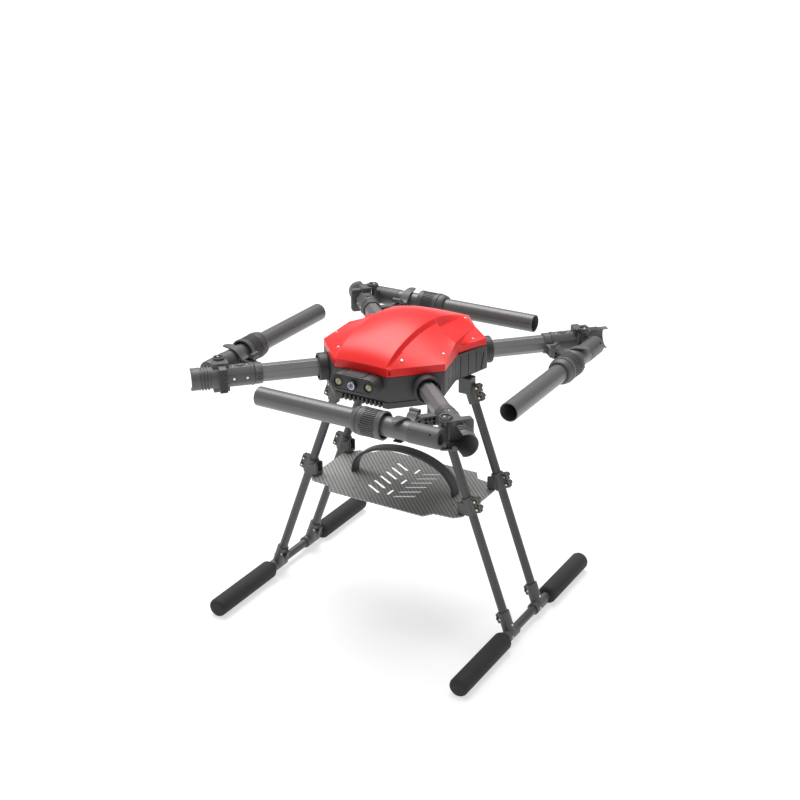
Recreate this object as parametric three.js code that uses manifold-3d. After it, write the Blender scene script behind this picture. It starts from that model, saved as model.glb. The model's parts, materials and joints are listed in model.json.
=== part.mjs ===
// Folding multirotor airframe with its four arms folded: millimetres, +Z up.
// The drone faces -Y and its left side is +X. The origin is on the ground, under the centre of the body.
import * as THREE from 'three';
import { mergeVertices } from 'three/addons/utils/BufferGeometryUtils.js';
import { ConvexGeometry } from 'three/addons/geometries/ConvexGeometry.js';
import Module from 'manifold-3d';

const wasm = await Module();
wasm.setup();

// ---- Driving dimensions ------------------------------------------------------------------------
const GAP = 0.3; // between neighbouring pieces
const ARM_HEIGHT = 568; // arm centre lines above the ground
const ARMS = [['front_left', -45], ['front_right', -135], ['rear_right', 135], ['rear_left', 45]];

const INNER_ARM = { across: 36, wall: 2.5, start: 70, end: 380 };
const COLLAR = { radius: 29.5, bore: 22, start: 166, end: 190 };
const JOINT = { sleeve: 43, start: 325.5, bulkhead: 388, flange: 401, end: 458 };
const MOUTH = { bore: 22, radius: 23.5, thread: 25.5, threadStart: 419, threadEnd: 441 };
const SWING_SIDE = -7; // the mouth's wall is cut away beyond this line, where the tube swings in
const SWING_HALF_HEIGHT = 21.3;
const PIN = { x: 396, y: -25, radius: 4, head: 6.5, reach: 34 };
const EAR = { low: 27.5, high: 31.5, radius: 9 };
const FOLD_ANGLE = -135; // the outer arm at rest, from its straight position

const OUTER_TUBE = { radius: 20, wall: 2, start: 12.3, end: 415 };
const ROOT_OFFSET = -3; // the knuckle's root face, along the tube from the hinge pin
const KNUCKLE = { radius: 20.4, bore: 12.5, plug: 17.7, plugEnd: 58, barrel: 6.5, back: -4 };
const LOCK = { radius: 29, start: 118, threadEnd: 168, taper: 178, end: 192, nose: 24, bore: 20.6, thread: 26 };
const REST = { start: 76, end: 96, inner: 20.7, outer: 23.7, lip: 13 };

const LIP = { low: 598, high: 614 }; // rim of the canopy
const SHELL = { top: 597.6, side: 545, bottom: 529, wall: 3 };
const PLATE = { thickness: 2.5, low: 546.5, high: 586.5 };
const POD = { halfWidth: 54, halfHeight: 18.2, centre: 580.5, front: -208, back: -176.6 };

const LEG = { radius: 9.5, wall: 1.5 };
const SKID = { height: 21, x: 304, front: -306, back: 270 };
const LEG_FEET = [['front', -83], ['rear', 52]];
const LEG_TOP = { x: 116, lean: 10, height: 528 };
const FOAM = { radius: 21, front: [-318, -113], rear: [95, 281] };
const TRAY = { top: 279.5, thickness: 3 };
const STRAP = { half: 128, height: 82, y: -16, width: 24, thickness: 2.6 };

// ---- Finishes ----------------------------------------------------------------------------------
const FINISHES = {
  red: { color: 0xd81012, roughness: 0.25, metalness: 0 },
  shell: { color: 0x3a3b3d, roughness: 0.6, metalness: 0 },
  casting: { color: 0x444648, roughness: 0.55, metalness: 0.1 },
  satin: { color: 0x77787a, roughness: 0.4, metalness: 0.6 },
  carbon: { color: 0x4a4b4c, roughness: 0.45, metalness: 0.1 },
  foam: { color: 0x151515, roughness: 0.95, metalness: 0 },
  steel: { color: 0xc9c9c9, roughness: 0.25, metalness: 1 },
  webbing: { color: 0x2c2d2f, roughness: 0.85, metalness: 0 },
  lens: { color: 0x232a4a, roughness: 0.05, metalness: 0 },
  board: { color: 0x1e2a24, roughness: 0.6, metalness: 0 },
};

// ---- Solid helpers -----------------------------------------------------------------------------
function toSolid(geometry) {
  const bare = geometry.clone();
  bare.deleteAttribute('normal');
  bare.deleteAttribute('uv');
  const merged = mergeVertices(bare, 1e-4);
  return new wasm.Manifold(new wasm.Mesh({
    numProp: 3,
    vertProperties: new Float32Array(merged.attributes.position.array),
    triVerts: new Uint32Array(merged.index.array),
  }));
}

function toGeometry(solid) {
  const mesh = solid.getMesh();
  const geometry = new THREE.BufferGeometry();
  geometry.setAttribute('position', new THREE.BufferAttribute(mesh.vertProperties, 3));
  geometry.setIndex(new THREE.BufferAttribute(mesh.triVerts, 1));
  return geometry;
}

const join = (...pieces) => toGeometry(pieces.map(toSolid).reduce((whole, piece) => whole.add(piece)));
const common = (first, second) => toGeometry(toSolid(first).intersect(toSolid(second)));

function cut(base, ...tools) {
  return toGeometry(tools.map(toSolid).reduce((rest, tool) => rest.subtract(tool), toSolid(base)));
}

const mirrored = (x) => [-x, x];
const hull = (points) => new ConvexGeometry(points.map(([x, y, z]) => new THREE.Vector3(x, y, z)));

function prism(outline, low, high) {
  const shape = new THREE.Shape(outline.map(([x, y]) => new THREE.Vector2(x, y)));
  return new THREE.ExtrudeGeometry(shape, { depth: high - low, bevelEnabled: false }).translate(0, 0, low);
}

// A prism whose outline lies in the Y-Z plane, drawn out along X.
function prismAlongX(outline, start, end) {
  const geometry = prism(outline, start, end);
  return geometry.applyMatrix4(new THREE.Matrix4().set(0, 0, 1, 0, 1, 0, 0, 0, 0, 1, 0, 0, 0, 0, 0, 1));
}

function box(xRange, yRange, zRange) {
  const [x, y, z] = [xRange, yRange, zRange].map(([low, high]) => ({ size: high - low, middle: (low + high) / 2 }));
  return new THREE.BoxGeometry(x.size, y.size, z.size).translate(x.middle, y.middle, z.middle);
}

// A turned solid about Z from its half profile, given as [radius, height] from the bottom up.
function turned(profile, segments = 24) {
  return new THREE.LatheGeometry(profile.map(([radius, height]) => new THREE.Vector2(radius, height)), segments)
    .rotateX(Math.PI / 2);
}

const rod = (radius, low, high, segments = 24) =>
  turned([[0, low], [radius, low], [radius, high], [0, high]], segments);

const ring = (radius, bore, low, high, segments = 24) =>
  turned([[bore, low], [radius, low], [radius, high], [bore, high], [bore, low]], segments);

const alongX = (geometry) => geometry.rotateY(Math.PI / 2);
const alongY = (geometry) => geometry.rotateX(-Math.PI / 2);

function octagon(across) {
  const corner = across / 2 / Math.cos(Math.PI / 8);
  return Array.from({ length: 8 }, (_, i) => {
    const angle = Math.PI / 8 + (i * Math.PI) / 4;
    return [corner * Math.cos(angle), corner * Math.sin(angle)];
  });
}

// ---- Scene graph -------------------------------------------------------------------------------
const drone = new THREE.Group();

function add(parent, name, geometry, finish) {
  const material = new THREE.MeshStandardMaterial({ ...FINISHES[finish], flatShading: true });
  const mesh = new THREE.Mesh(geometry, material);
  mesh.name = name;
  parent.add(mesh);
}

// ---- Body --------------------------------------------------------------------------------------
// Plan of the body: blunt octagon with a shallow waist on each side.
function bodyPlan(inset, waist = true) {
  const half = [[64, -176], [147.5, -91], ...(waist ? [[126.5, 2]] : []), [152, 87], [55, 184]];
  const shrink = ([x, y]) => [x * (1 - inset / 140), y * (1 - inset / 176)];
  const left = half.map(shrink);
  return [...left, ...left.map(([x, y]) => [-x, y]).reverse()];
}

// Ridge beside the centre hump and the hump's own profile, as [y, height].
const RIDGE_FOOT = [[-170, 618], [-141, 631], [-113, 642], [-79, 650], [-44, 657], [8, 656]];
const REAR_SHOULDER = [[18, 641], [111, 635], [150, 626]];
const HUMP = [[-177, 617], [-156, 635], [-128, 647], [-94, 655], [-12, 664], [51, 658], [147, 629], [181, 617]];
const HUMP_HALF_WIDTH = 61;
const RIDGE_X = 70;
const CROWN = 9;

function canopyMass(inset) {
  const plan = bodyPlan(inset, false);
  const rim = plan.flatMap(([x, y]) => [[x, y, LIP.low - 1], [x, y, LIP.high - inset]]);
  const front = rim.filter(([, y]) => y < 0);
  const rear = rim.filter(([, y]) => y > 0);
  const ridge = (points) => points.flatMap(([y, z]) => mirrored(RIDGE_X).map((x) => [x, y, z - inset]));
  const humpRows = HUMP.flatMap(([y, z]) => [
    ...mirrored(HUMP_HALF_WIDTH - inset).flatMap((x) => [[x, y, z - inset], [x, y, LIP.low - 1]]),
    [0, y, z + CROWN - inset],
  ]);
  const waist = mirrored(140 - inset).flatMap((x) => [[x, 18, LIP.low - 1], [x, 18, LIP.high - inset]]);
  return join(
    hull([...front, ...waist, ...ridge(RIDGE_FOOT)]),
    hull([...rear, ...waist, ...ridge(REAR_SHOULDER)]),
    hull(humpRows),
  );
}

function canopy() {
  const outside = common(canopyMass(0), prism(bodyPlan(0), LIP.low, 700));
  const inside = common(canopyMass(SHELL.wall), prism(bodyPlan(SHELL.wall), LIP.low - 1, 700));
  return cut(outside, inside);
}

function tubMass(inset) {
  const floor = SHELL.bottom + inset;
  const plan = bodyPlan(inset, false);
  const base = plan.map(([x, y]) => [x * (Math.abs(x) > 100 ? 0.8 : 1), y > 100 ? y - 12 : y, floor]);
  const sides = plan.flatMap(([x, y]) => [[x, y, SHELL.top + inset], [x, y, SHELL.side]]);
  return common(hull([...base, ...sides]), prism(bodyPlan(inset), floor, SHELL.top + inset));
}

// The tub, with a round collar moulded where each arm leaves it.
function lowerShell() {
  const onArm = (geometry, angle) => geometry.rotateZ(THREE.MathUtils.degToRad(angle)).translate(0, 0, ARM_HEIGHT);
  const collars = ARMS.map(([, angle]) => onArm(alongX(rod(COLLAR.radius, COLLAR.start, COLLAR.end)), angle));
  const armHoles = ARMS.map(([, angle]) => onArm(alongX(rod(COLLAR.bore, 100, 200)), angle));
  return cut(join(cut(tubMass(0), tubMass(SHELL.wall)), ...collars), ...armHoles);
}

// A carbon plate that clamps the four inner arms, with a round cable hole in its middle.
function framePlate(low) {
  const plan = bodyPlan(14);
  return cut(prism(plan, low, low + PLATE.thickness), rod(30, low - 1, low + PLATE.thickness + 1));
}

function cameraPod() {
  const side = POD.halfWidth - POD.halfHeight;
  const outline = new THREE.Shape();
  outline.absarc(side, 0, POD.halfHeight, -Math.PI / 2, Math.PI / 2, false);
  outline.absarc(-side, 0, POD.halfHeight, Math.PI / 2, Math.PI * 1.5, false);
  const body = new THREE.ExtrudeGeometry(outline, { depth: POD.back - POD.front, bevelEnabled: false, curveSegments: 8 })
    .rotateX(Math.PI / 2).translate(0, POD.back, POD.centre);
  const socket = (x, radius) => alongY(rod(radius, POD.front - 1, POD.front + 12, 20)).translate(x, 0, POD.centre);
  return cut(body, socket(-36, 10), socket(36, 10), socket(0, 10));
}

const cameraLens = () => alongY(rod(9.6, POD.front - 9, POD.front + 11.6, 20)).translate(0, 0, POD.centre);

add(drone, 'canopy', canopy(), 'red');
add(drone, 'lower_shell', lowerShell(), 'shell');
add(drone, 'upper_frame_plate', framePlate(PLATE.high), 'carbon');
add(drone, 'lower_frame_plate', framePlate(PLATE.low), 'carbon');
add(drone, 'flight_controller', box([-24, 24], [-32, 44], [589.5, 612]), 'shell');
add(drone, 'power_board', box([-50, 50], [-45, 45], [549.6, 556]), 'board');
add(drone, 'camera_pod', cameraPod(), 'shell');
add(drone, 'camera_lens', cameraLens(), 'lens');

// ---- Arms: X runs outward along the arm, Y to its swing's far side, Z up -------------------------
function innerArm() {
  const { across, wall, start, end } = INNER_ARM;
  return cut(prismAlongX(octagon(across), start, end),
    prismAlongX(octagon(across - 2 * wall), start - 1, end + 1));
}

function foldJoint() {
  const { sleeve, start, bulkhead, flange, end } = JOINT;
  const mouth = alongX(turned([[0, bulkhead], [MOUTH.radius, bulkhead], [MOUTH.radius, MOUTH.threadStart],
    [MOUTH.thread, MOUTH.threadStart], [MOUTH.thread, MOUTH.threadEnd], [MOUTH.radius, MOUTH.threadEnd],
    [MOUTH.radius, end], [0, end]]));
  const earPlan = [[378, 6], [378, -12], [PIN.x - EAR.radius, PIN.y], [PIN.x - 5, PIN.y - 8],
    [PIN.x + 5, PIN.y - 8], [PIN.x + EAR.radius, PIN.y], [412, -12], [412, 6]];
  const shoulderPlan = [[378, 8], [378, -14], [412, -14], [412, 8]];
  const lugs = mirrored(1).flatMap((side) => [
    prism(shoulderPlan, ...(side > 0 ? [16, EAR.high] : [-EAR.high, -16])),
    prism(earPlan, ...(side > 0 ? [EAR.low, EAR.high] : [-EAR.high, -EAR.low])),
  ]);
  const flangeFace = [[-16, -24], [-13, -27], [28, -27], [31, -24], [31, 24], [28, 27], [-13, 27], [-16, 24]];
  const body = join(prismAlongX(octagon(sleeve), start, bulkhead), prismAlongX(flangeFace, bulkhead - 3, flange),
    mouth, ...lugs);
  const swing = join(
    box([bulkhead, end + 1], [-40, SWING_SIDE], [-SWING_HALF_HEIGHT, SWING_HALF_HEIGHT]),
    box([412.5, end + 1], [-40, SWING_SIDE], [-40, 40]),
    rod(15, -SWING_HALF_HEIGHT, SWING_HALF_HEIGHT).translate(PIN.x, PIN.y, 0),
  );
  return cut(body, prismAlongX(octagon(INNER_ARM.across + 2 * GAP), start - 1, INNER_ARM.end + GAP),
    alongX(rod(MOUTH.bore, bulkhead, end + 1)), swing,
    rod(PIN.radius + GAP, -40, 40, 16).translate(PIN.x, PIN.y, 0));
}

function hingePin() {
  const { radius, head, reach, x, y } = PIN;
  const seat = EAR.high + GAP;
  return turned([[0, -reach], [head, -reach], [head, -seat], [radius, -seat], [radius, seat], [head, seat],
    [head, reach], [0, reach]], 16).translate(x, y, 0);
}

// The saddle and its bracket are drawn in the folded tube's own axes, then turned with it.
const foldedAxes = new THREE.Matrix4().makeRotationZ(THREE.MathUtils.degToRad(FOLD_ANGLE))
  .setPosition(PIN.x, PIN.y, 0);
const tubeToFolded = (geometry) => geometry.translate(ROOT_OFFSET, -PIN.y, 0).applyMatrix4(foldedAxes);

function armRest() {
  const { start, end, inner, outer, lip } = REST;
  const band = prismAlongX(octagon(41), 309, 325.2);
  const saddle = new THREE.Shape();
  saddle.absarc(0, 0, outer, Math.PI / 2, Math.PI * 1.5, false);
  saddle.lineTo(lip, -outer);
  saddle.lineTo(lip, -inner);
  saddle.lineTo(0, -inner);
  saddle.absarc(0, 0, inner, Math.PI * 1.5, Math.PI / 2, true);
  saddle.lineTo(lip, inner);
  saddle.lineTo(lip, outer);
  const clip = new THREE.ExtrudeGeometry(saddle, { depth: end - start, bevelEnabled: false, curveSegments: 10 })
    .applyMatrix4(new THREE.Matrix4().set(0, 0, 1, start, 1, 0, 0, 0, 0, 1, 0, 0, 0, 0, 0, 1));
  const bracket = prism([[309, -15], [309, -50], [331.5, -92], [346, -78], [325.2, -46], [325.2, -15]], -14, 14);
  const tubeRoom = alongX(rod(inner, start - 20, end + 20, 40));
  return cut(join(band, cut(bracket, tubeToFolded(tubeRoom)), tubeToFolded(clip)),
    prismAlongX(octagon(INNER_ARM.across + 2 * GAP), 300, 330));
}

function foldKnuckle() {
  const { radius, bore, plug, plugEnd, barrel, back } = KNUCKLE;
  const cap = alongX(turned([[bore, back], [radius, back], [radius, 12], [plug, 12], [plug, plugEnd],
    [bore, plugEnd], [bore, back]]));
  const pinX = -ROOT_OFFSET;
  const web = box([back, 12], [PIN.y, -14], [-18, 18]);
  const hub = rod(barrel, -EAR.low + GAP, EAR.low - GAP, 16).translate(pinX, PIN.y, 0);
  const room = alongX(rod(bore, back - 1, plugEnd + 1));
  return cut(join(cap, cut(web, room), hub), rod(PIN.radius + GAP, -40, 40, 16).translate(pinX, PIN.y, 0));
}

const outerTube = () =>
  alongX(ring(OUTER_TUBE.radius, OUTER_TUBE.radius - OUTER_TUBE.wall, OUTER_TUBE.start, OUTER_TUBE.end, 32));

function lockCollar() {
  const { radius, start, threadEnd, taper, end, nose, bore, thread } = LOCK;
  return alongX(turned([[thread, start], [radius, start], [radius, taper], [nose, end], [bore, end],
    [bore, threadEnd], [thread, threadEnd], [thread, start]], 32));
}

for (const [side, angle] of ARMS) {
  const arm = new THREE.Group();
  arm.rotation.z = THREE.MathUtils.degToRad(angle);
  arm.position.z = ARM_HEIGHT;
  drone.add(arm);
  add(arm, `inner_arm_${side}`, innerArm(), 'satin');
  add(arm, `fold_joint_${side}`, foldJoint(), 'casting');
  add(arm, `hinge_pin_${side}`, hingePin(), 'steel');
  add(arm, `arm_rest_${side}`, armRest(), 'casting');

  const swing = new THREE.Group();
  swing.position.set(PIN.x, PIN.y, 0);
  swing.rotation.z = THREE.MathUtils.degToRad(FOLD_ANGLE);
  arm.add(swing);
  const outer = new THREE.Group();
  outer.position.set(ROOT_OFFSET, -PIN.y, 0);
  swing.add(outer);
  add(outer, `fold_knuckle_${side}`, foldKnuckle(), 'casting');
  add(outer, `outer_arm_${side}`, outerTube(), 'carbon');
  add(outer, `lock_collar_${side}`, lockCollar(), 'casting');
}

// ---- Landing gear ------------------------------------------------------------------------------
// Each leg has its own axes: Z up the leg from the skid's centre line, X outward.
const legs = LEG_FEET.flatMap(([end, footY]) => [['left', 1], ['right', -1]].map(([side, sign]) => {
  const foot = new THREE.Vector3(sign * SKID.x, footY, SKID.height);
  const top = new THREE.Vector3(sign * LEG_TOP.x, footY + LEG_TOP.lean, LEG_TOP.height);
  const up = top.clone().sub(foot);
  const length = up.length();
  up.normalize();
  const back = up.clone().cross(new THREE.Vector3(sign, 0, 0)).normalize();
  const outward = back.clone().cross(up);
  const axes = new THREE.Matrix4().makeBasis(outward, back, up).setPosition(foot);
  return { name: `${end}_${side}`, sign, foot, axes, length };
}));

const alongLeg = (height) => (height - SKID.height) / (LEG_TOP.height - SKID.height);
const onLeg = (leg, geometry) => geometry.applyMatrix4(leg.axes);
const CLAMP = { radius: 13.5, reach: 25, slit: 1.2, half: 6.5, boltX: 19, hole: 2.8, boltInset: 10 };

// A split sleeve with two thin ears on its outer side, drilled for a pair of bolts, joined to a block
// that carries what the clamp holds. The leg's bore runs up to boreEnd.
function clampBody(low, high, boreEnd, block) {
  const { radius, reach, slit, half, boltX, hole, boltInset } = CLAMP;
  const ears = box([5, reach], [-half, half], [low + 2, high - 2]);
  const holes = [low + boltInset, high - boltInset].map((z) =>
    alongY(rod(hole, -20, 20, 8)).translate(boltX, 0, z));
  return cut(join(rod(radius, low, high, 20), ears, block), rod(LEG.radius + GAP, low - 1, boreEnd, 20),
    box([0, reach + 1], [-slit, slit], [low - 1, high + 1]), ...holes);
}

for (const leg of legs) {
  const { name, length } = leg;
  const trayZ = length * alongLeg(TRAY.top);
  const atFoot = (geometry) => alongY(geometry).translate(...leg.foot);
  const skidClamp = cut(join(atFoot(rod(13.5, -24, 24, 20)), onLeg(leg, rod(13.2, 0, 52, 20))),
    atFoot(rod(LEG.radius + GAP, -30, 30, 20)), onLeg(leg, rod(LEG.radius + GAP, 11.5, 60, 20)));
  const upright = ([inner, outer], [low, high]) => box([inner, outer], [-13, 13], [low, high])
    .rotateZ(leg.sign > 0 ? 0 : Math.PI).translate(0, leg.foot.y + LEG_TOP.lean / 2, 0)
    .applyMatrix4(leg.axes.clone().invert());
  const bracket = clampBody(length - 62, length - 20, length - 8 + GAP, upright([105, 134], [492, SHELL.bottom - GAP]));
  const trayClamp = clampBody(trayZ + 2, trayZ + 40, length, upright([177, 200], [TRAY.top + GAP, TRAY.top + 30]));
  add(drone, `leg_${name}`, onLeg(leg, ring(LEG.radius, LEG.radius - LEG.wall, 12, length - 8, 20)), 'carbon');
  add(drone, `leg_bracket_${name}`, onLeg(leg, bracket), 'casting');
  add(drone, `tray_clamp_${name}`, onLeg(leg, trayClamp), 'casting');
  add(drone, `skid_clamp_${name}`, skidClamp, 'casting');
}

function foamSleeve([start, end], closedStart) {
  const bore = LEG.radius + GAP;
  const tube = closedStart ? SKID.front - GAP : SKID.back + GAP;
  const chamfer = 5;
  const outside = turned([[0, start], [FOAM.radius - chamfer, start], [FOAM.radius, start + chamfer],
    [FOAM.radius, end - chamfer], [FOAM.radius - chamfer, end], [0, end]], 24);
  const hole = closedStart ? rod(bore, tube, end + 1, 24) : rod(bore, start - 1, tube, 24);
  return alongY(cut(outside, hole));
}

for (const [side, x] of [['left', SKID.x], ['right', -SKID.x]]) {
  const place = (geometry) => geometry.translate(x, 0, SKID.height);
  add(drone, `skid_tube_${side}`, place(alongY(ring(LEG.radius, LEG.radius - LEG.wall, SKID.front, SKID.back, 20))), 'carbon');
  add(drone, `foam_front_${side}`, place(foamSleeve(FOAM.front, true)), 'foam');
  add(drone, `foam_rear_${side}`, place(foamSleeve(FOAM.rear, false)), 'foam');
}

// ---- Payload tray ------------------------------------------------------------------------------
const TRAY_HALF = [[118, -133], [132, -112], [178, -108], [193, -92], [195, 48], [170, 74], [137, 79], [121, 105]];

function payloadTray() {
  const outline = [...TRAY_HALF, ...TRAY_HALF.map(([x, y]) => [-x, y]).reverse()];
  const low = TRAY.top - TRAY.thickness;
  const slot = (x, y, length, angle) => box([-length / 2, length / 2], [-3.5, 3.5], [low - 1, TRAY.top + 1])
    .rotateZ(THREE.MathUtils.degToRad(angle)).translate(x, y, 0);
  const slantedSlots = [49, 24, 0, -25, -50, -75].flatMap((y) => [slot(-39, y, 50, -30), slot(39, y, 50, 30)]);
  const middleSlots = [45, -13.5, -72].map((y) => slot(2, y, 28, 90));
  return cut(prism(outline, low, TRAY.top), ...slantedSlots, ...middleSlots);
}

function strap() {
  const { half, height, y, width, thickness } = STRAP;
  const arch = (grow) => {
    const shape = new THREE.Shape();
    shape.absellipse(0, 0, half + grow, height + grow, 0, Math.PI, false, 0);
    return new THREE.ExtrudeGeometry(shape, { depth: width + 2 * (1 - grow), bevelEnabled: false, curveSegments: 24 })
      .rotateX(Math.PI / 2).translate(0, y + width / 2 + 1 - grow, TRAY.top + GAP);
  };
  const inner = arch(-thickness);
  return cut(arch(1), inner);
}

add(drone, 'payload_tray', payloadTray(), 'carbon');
add(drone, 'payload_strap', strap(), 'webbing');

export default drone;
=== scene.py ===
"""Folding multirotor airframe: the looks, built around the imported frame."""
import json
import math

import bmesh
import bpy
from mathutils import Matrix, Vector


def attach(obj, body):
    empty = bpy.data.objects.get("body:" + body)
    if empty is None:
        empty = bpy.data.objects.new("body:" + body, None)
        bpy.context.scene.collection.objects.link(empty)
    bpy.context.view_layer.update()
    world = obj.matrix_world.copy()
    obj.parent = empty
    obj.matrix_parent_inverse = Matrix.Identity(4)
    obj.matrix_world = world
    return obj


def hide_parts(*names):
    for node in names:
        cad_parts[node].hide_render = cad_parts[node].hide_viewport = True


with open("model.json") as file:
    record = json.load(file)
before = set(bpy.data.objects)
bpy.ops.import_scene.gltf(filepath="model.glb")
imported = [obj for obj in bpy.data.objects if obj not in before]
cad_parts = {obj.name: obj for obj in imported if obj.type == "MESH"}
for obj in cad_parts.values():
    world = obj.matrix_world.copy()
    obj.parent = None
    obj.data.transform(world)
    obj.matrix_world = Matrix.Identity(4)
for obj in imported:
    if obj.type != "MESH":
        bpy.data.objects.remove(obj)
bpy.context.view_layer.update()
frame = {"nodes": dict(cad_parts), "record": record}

# ---- Sizes, in millimetres -----------------------------------------------------------------------
MM = 0.001
ARM_HEIGHT = 568
ARMS = {"front_left": -45, "front_right": -135, "rear_right": 135, "rear_left": 45}
PIN = Vector((396, -25, 0))
FOLD_ANGLE = -135
ROOT_OFFSET = -3


def turn(degrees, axis="Z"):
    return Matrix.Rotation(math.radians(degrees), 4, axis)


def shift(x=0.0, y=0.0, z=0.0):
    return Matrix.Translation((x, y, z))


ARM_PLACE = {side: shift(z=ARM_HEIGHT) @ turn(angle) for side, angle in ARMS.items()}
TUBE_AXES = shift(*PIN) @ turn(FOLD_ANGLE) @ shift(ROOT_OFFSET, -PIN.y)


# ---- Camera --------------------------------------------------------------------------------------
def set_camera():
    camera = bpy.data.objects.new("camera", bpy.data.cameras.new("camera"))
    camera.data.lens = 64.38
    camera.data.sensor_width = 36.0
    camera.data.clip_end = 50.0
    yaw, pitch, roll = 31.10, -23.36, -0.67
    camera.matrix_world = (shift(1.4571, -2.4392, 1.6967) @ turn(yaw) @ turn(90 + pitch, "X") @ turn(roll))
    bpy.context.scene.collection.objects.link(camera)
    bpy.context.scene.camera = camera


set_camera()


# ---- Shader writing --------------------------------------------------------------------------------
class Number:
    """A shader value: arithmetic on it adds Math nodes."""

    def __init__(self, finish, socket):
        self.finish = finish
        self.socket = socket

    def math(self, operation, *others):
        inputs = dict(enumerate((self, *others)))
        return self.finish.node("ShaderNodeMath", {"operation": operation}, inputs)

    def __add__(self, other):
        return self.math("ADD", other)

    def __sub__(self, other):
        return self.math("SUBTRACT", other)

    def __rsub__(self, other):
        return self.finish.node("ShaderNodeMath", {"operation": "SUBTRACT"}, {0: other, 1: self})

    def __mul__(self, other):
        return self.math("MULTIPLY", other)

    def __truediv__(self, other):
        return self.math("DIVIDE", other)

    __radd__ = __add__
    __rmul__ = __mul__

    def floor(self):
        return self.math("FLOOR")

    def fract(self):
        return self.math("FRACT")

    def sine(self):
        return self.math("SINE")

    def size(self):
        return self.math("ABSOLUTE")

    def above(self, limit):
        return self.math("GREATER_THAN", limit)

    def ramp(self, low, high):
        """A smooth step from 0 to 1 as the value goes from low to high."""
        values = {0: self, 1: low, 2: high, 3: 0.0, 4: 1.0}
        return self.finish.node("ShaderNodeMapRange", {"interpolation_type": "SMOOTHSTEP"}, values)


class Finish:
    """A material under construction."""

    def __init__(self, name):
        self.material = bpy.data.materials.new(name)
        self.material.use_nodes = True
        self.tree = self.material.node_tree
        self.tree.nodes.clear()
        self.output = self.tree.nodes.new("ShaderNodeOutputMaterial")

    def node(self, kind, settings=None, inputs=None, output=0):
        node = self.tree.nodes.new(kind)
        for name, value in (settings or {}).items():
            setattr(node, name, value)
        for name, value in (inputs or {}).items():
            if isinstance(value, Number):
                self.tree.links.new(value.socket, node.inputs[name])
            else:
                node.inputs[name].default_value = value
        return Number(self, node.outputs[output])

    def place(self):
        return self.node("ShaderNodeTexCoord", output="Object")

    def unrolled(self):
        """The piece's own flat coordinates, in metres along and across it."""
        return self.node("ShaderNodeUVMap", {"uv_map": "Unrolled"})

    def scaled(self, vector, x, y, z):
        return self.node("ShaderNodeVectorMath", {"operation": "MULTIPLY"}, {0: vector, 1: (x, y, z)})

    def parts(self, vector):
        split = self.tree.nodes.new("ShaderNodeSeparateXYZ")
        self.tree.links.new(vector.socket, split.inputs[0])
        return [Number(self, socket) for socket in split.outputs]

    def noise(self, vector, scale, detail=3.0, roughness=0.5):
        inputs = {"Vector": vector, "Scale": scale, "Detail": detail, "Roughness": roughness}
        return self.node("ShaderNodeTexNoise", None, inputs)

    def mix(self, factor, first, second):
        inputs = {0: factor, 6: self.opaque(first), 7: self.opaque(second)}
        return self.node("ShaderNodeMix", {"data_type": "RGBA"}, inputs, output=2)

    @staticmethod
    def opaque(color):
        return color if isinstance(color, Number) else (*color, 1.0)

    def bump(self, height, distance, strength):
        inputs = {"Height": height, "Distance": distance, "Strength": strength}
        return self.node("ShaderNodeBump", None, inputs)

    def surface(self, **inputs):
        named = {name.replace("_", " "): value for name, value in inputs.items()}
        color = named.pop("Base Color")
        shader = self.node("ShaderNodeBsdfPrincipled", None, {"Base Color": self.opaque(color), **named})
        self.tree.links.new(shader.socket, self.output.inputs["Surface"])
        return self.material


# ---- Finishes --------------------------------------------------------------------------------------
def canopy_red():
    """Satin moulded red, with the slight ripple and fine dust of a real moulding."""
    finish = Finish("canopy_red")
    place = finish.place()
    ripple = finish.noise(place, 9.0, 1.0)
    dust = finish.noise(place, 900.0, 2.0).ramp(0.62, 0.8)
    color = finish.mix(finish.noise(place, 6.0, 2.0), (0.88, 0.012, 0.012), (0.96, 0.018, 0.016))
    rough = finish.noise(place, 45.0, 4.0) * 0.08 + 0.36 + dust * 0.06
    return finish.surface(Base_Color=color, Roughness=rough, Specular_IOR_Level=0.3, Coat_Weight=0.25,
                          Coat_Roughness=0.35, Normal=finish.bump(ripple, 0.0004, 0.25))


def moulded(name, dark, light, rough, grain_scale=1400.0, grain=0.00005):
    """Matte moulded plastic: a fine spark-eroded grain and faint handling marks."""
    finish = Finish(name)
    place = finish.place()
    tone = finish.noise(place, 18.0, 4.0, 0.6)
    texture = finish.noise(place, grain_scale, 2.0, 0.6)
    marks = finish.noise(finish.scaled(place, 1.0, 3.0, 7.0), 30.0, 5.0, 0.7).ramp(0.55, 0.75)
    color = finish.mix(tone * 0.7 + texture * 0.3, dark, light)
    roughness = tone * 0.12 + rough - marks * 0.08
    return finish.surface(Base_Color=color, Roughness=roughness, Normal=finish.bump(texture, grain, 0.7))


def satin_tube():
    """Dark grey satin tube, lightly brushed."""
    finish = Finish("satin_tube")
    place = finish.place()
    brushed = finish.noise(finish.scaled(place, 40.0, 40.0, 900.0), 1.0, 3.0)
    cloud = finish.noise(place, 12.0, 3.0)
    color = finish.mix(cloud, (0.155, 0.153, 0.153), (0.215, 0.212, 0.212))
    return finish.surface(Base_Color=color, Metallic=0.2, Roughness=brushed * 0.12 + 0.3,
                          Normal=finish.bump(brushed, 0.00004, 0.4))


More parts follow.
